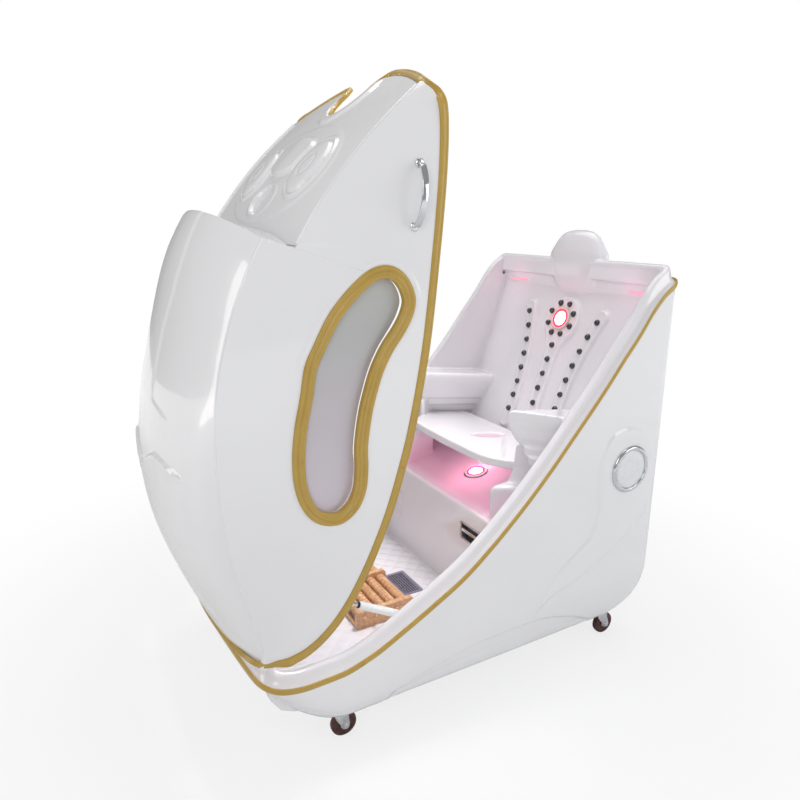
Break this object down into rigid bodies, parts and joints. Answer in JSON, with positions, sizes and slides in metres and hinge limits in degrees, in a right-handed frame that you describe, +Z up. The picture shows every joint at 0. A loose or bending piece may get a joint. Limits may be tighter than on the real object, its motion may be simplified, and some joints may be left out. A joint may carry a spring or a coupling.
{
  "type": "sit-in spa capsule with clamshell lid",
  "caption": "Sit-in steam spa capsule on castors: moulded tub with seat, reclined stone back and foot rollers, and a hinged clamshell lid with windows on gas struts.",
  "frame": {"origin": "middle of the overall box with the lid open, on the floor", "axes": "+Z up, +X from the foot end towards the head end, +Y towards the left flank, where right is the flank on the -Y side"},
  "size_m": [1.5126, 0.913, 1.7463],
  "materials": {
    "gelcoat_white": "glossy white gelcoat, slightly cool",
    "liner_white": "glossy white moulded liner",
    "ochre_trim": "ochre-gold painted trim, satin sheen",
    "chrome": "bright chrome plating",
    "steel": "zinc-plated steel",
    "timber": "honey-tan close-grained hardwood, oiled",
    "stone_black": "polished black massage stones on a dark backing strip",
    "lamp_pink": "frosted lens lit pink from within",
    "lamp_red": "red lens with a bright bezel",
    "pane_grey": "grey-lavender translucent acrylic",
    "wheel_red": "dark red-brown polyurethane tread on a pale hub",
    "plastic_black": "black moulded plastic",
    "grille_grey": "grey moulded grille",
    "strut_white": "white painted cylinder"
  },
  "bodies": {
    "tub": {"tub_outer_shell": "gelcoat_white", "tub_rim": "liner_white", "footwell_pan": "liner_white", "seat_front_panel": "liner_white", "seat_basin": "liner_white", "seat_board": "liner_white", "back_panel": "liner_white", "neck_rest": "liner_white", "side_liner_right": "liner_white", "side_liner_left": "liner_white", "armrest_right": "liner_white", "armrest_left": "liner_white", "tub_trim_band": "ochre_trim", "panel_pull": "chrome", "flank_lamp_right": "chrome", "flank_lamp_left": "chrome", "chassis_frame": "steel", "steam_generator": "steel", "hinge_bracket_right": "steel", "hinge_bracket_left": "steel", "roller_frame": "timber", "stone_strip_right": "stone_black", "stone_strip_left": "stone_black", "stone_strip_centre": "stone_black", "seat_lamp": "lamp_pink", "back_lamp": "lamp_red", "power_inlet": "plastic_black", "footwell_grille": "grille_grey"},
    "lid": {"lid_dome": "gelcoat_white", "lid_head_panel": "gelcoat_white", "lid_step_panel": "gelcoat_white", "lid_side_right": "gelcoat_white", "lid_side_left": "gelcoat_white", "lid_edge_trim": "ochre_trim", "window_frame_right": "ochre_trim", "window_frame_left": "ochre_trim", "lid_handle_right": "chrome", "lid_handle_left": "chrome", "hinge_arm_right": "steel", "hinge_arm_left": "steel", "window_pane_right": "pane_grey", "window_pane_left": "pane_grey"},
    "cylinder_right": {"strut_cylinder_right": "strut_white"},
    "rod_right": {"strut_rod_right": "chrome"},
    "cylinder_left": {"strut_cylinder_left": "strut_white"},
    "rod_left": {"strut_rod_left": "chrome"},
    "fork_front_right": {"castor_fork_front_right": "steel"},
    "wheel_front_right": {"castor_wheel_front_right": "wheel_red"},
    "fork_front_left": {"castor_fork_front_left": "steel"},
    "wheel_front_left": {"castor_wheel_front_left": "wheel_red"},
    "fork_rear_right": {"castor_fork_rear_right": "steel"},
    "wheel_rear_right": {"castor_wheel_rear_right": "wheel_red"},
    "fork_rear_left": {"castor_fork_rear_left": "steel"},
    "wheel_rear_left": {"castor_wheel_rear_left": "wheel_red"},
    "roller_1": {"foot_roller_1": "timber"},
    "roller_2": {"foot_roller_2": "timber"},
    "roller_3": {"foot_roller_3": "timber"},
    "roller_4": {"foot_roller_4": "timber"},
    "roller_5": {"foot_roller_5": "timber"}
  },
  "joints": [
    {"name": "lid_hinge", "type": "hinge", "parent": "tub", "child": "lid", "pos_m": [-0.5841, 0, 0.35], "axis": [0, 1, 0], "range_deg": [0, 37]},
    {"name": "strut_pivot_right", "type": "hinge", "parent": "tub", "child": "cylinder_right", "pos_m": [-0.1291, -0.368, 0.314], "axis": [0, 1, 0], "range_deg": [-23, 1]},
    {"name": "strut_slide_right", "type": "slide", "parent": "cylinder_right", "child": "rod_right", "axis": [-0.8773, 0, 0.4799], "range_m": [-0.08, 0.001]},
    {"name": "strut_pivot_left", "type": "hinge", "parent": "tub", "child": "cylinder_left", "pos_m": [-0.1291, 0.368, 0.314], "axis": [0, 1, 0], "range_deg": [-23, 1]},
    {"name": "strut_slide_left", "type": "slide", "parent": "cylinder_left", "child": "rod_left", "axis": [-0.8773, 0, 0.4799], "range_m": [-0.08, 0.001]},
    {"name": "castor_swivel_front_right", "type": "hinge", "parent": "tub", "child": "fork_front_right", "pos_m": [-0.3601, -0.33562, 0.1], "axis": [0, 0, 1], "continuous": true},
    {"name": "castor_roll_front_right", "type": "hinge", "parent": "fork_front_right", "child": "wheel_front_right", "pos_m": [-0.3461, -0.33562, 0.0375], "axis": [0, 1, 0], "continuous": true},
    {"name": "castor_swivel_front_left", "type": "hinge", "parent": "tub", "child": "fork_front_left", "pos_m": [-0.3601, 0.33562, 0.1], "axis": [0, 0, 1], "continuous": true},
    {"name": "castor_roll_front_left", "type": "hinge", "parent": "fork_front_left", "child": "wheel_front_left", "pos_m": [-0.3461, 0.33562, 0.0375], "axis": [0, 1, 0], "continuous": true},
    {"name": "castor_swivel_rear_right", "type": "hinge", "parent": "tub", "child": "fork_rear_right", "pos_m": [0.6099, -0.346, 0.1], "axis": [0, 0, 1], "continuous": true},
    {"name": "castor_roll_rear_right", "type": "hinge", "parent": "fork_rear_right", "child": "wheel_rear_right", "pos_m": [0.6319, -0.346, 0.0375], "axis": [0, 1, 0], "continuous": true},
    {"name": "castor_swivel_rear_left", "type": "hinge", "parent": "tub", "child": "fork_rear_left", "pos_m": [0.6099, 0.346, 0.1], "axis": [0, 0, 1], "continuous": true},
    {"name": "castor_roll_rear_left", "type": "hinge", "parent": "fork_rear_left", "child": "wheel_rear_left", "pos_m": [0.6319, 0.346, 0.0375], "axis": [0, 1, 0], "continuous": true},
    {"name": "foot_roller_spin_1", "type": "hinge", "parent": "tub", "child": "roller_1", "pos_m": [-0.1931, 0.028, 0.216], "axis": [0, 1, 0], "continuous": true},
    {"name": "foot_roller_spin_2", "type": "hinge", "parent": "tub", "child": "roller_2", "pos_m": [-0.1561, 0.028, 0.216], "axis": [0, 1, 0], "continuous": true},
    {"name": "foot_roller_spin_3", "type": "hinge", "parent": "tub", "child": "roller_3", "pos_m": [-0.1191, 0.028, 0.216], "axis": [0, 1, 0], "continuous": true},
    {"name": "foot_roller_spin_4", "type": "hinge", "parent": "tub", "child": "roller_4", "pos_m": [-0.0821, 0.028, 0.216], "axis": [0, 1, 0], "continuous": true},
    {"name": "foot_roller_spin_5", "type": "hinge", "parent": "tub", "child": "roller_5", "pos_m": [-0.0451, 0.028, 0.216], "axis": [0, 1, 0], "continuous": true}
  ],
  "couplings": [
    {"joint": "strut_pivot_right", "follows": "lid_hinge", "ratio": -0.57933},
    {"joint": "strut_slide_right", "follows": "lid_hinge", "m_per_rad": -0.11944},
    {"joint": "strut_pivot_left", "follows": "lid_hinge", "ratio": -0.57933},
    {"joint": "strut_slide_left", "follows": "lid_hinge", "m_per_rad": -0.11944}
  ]
}
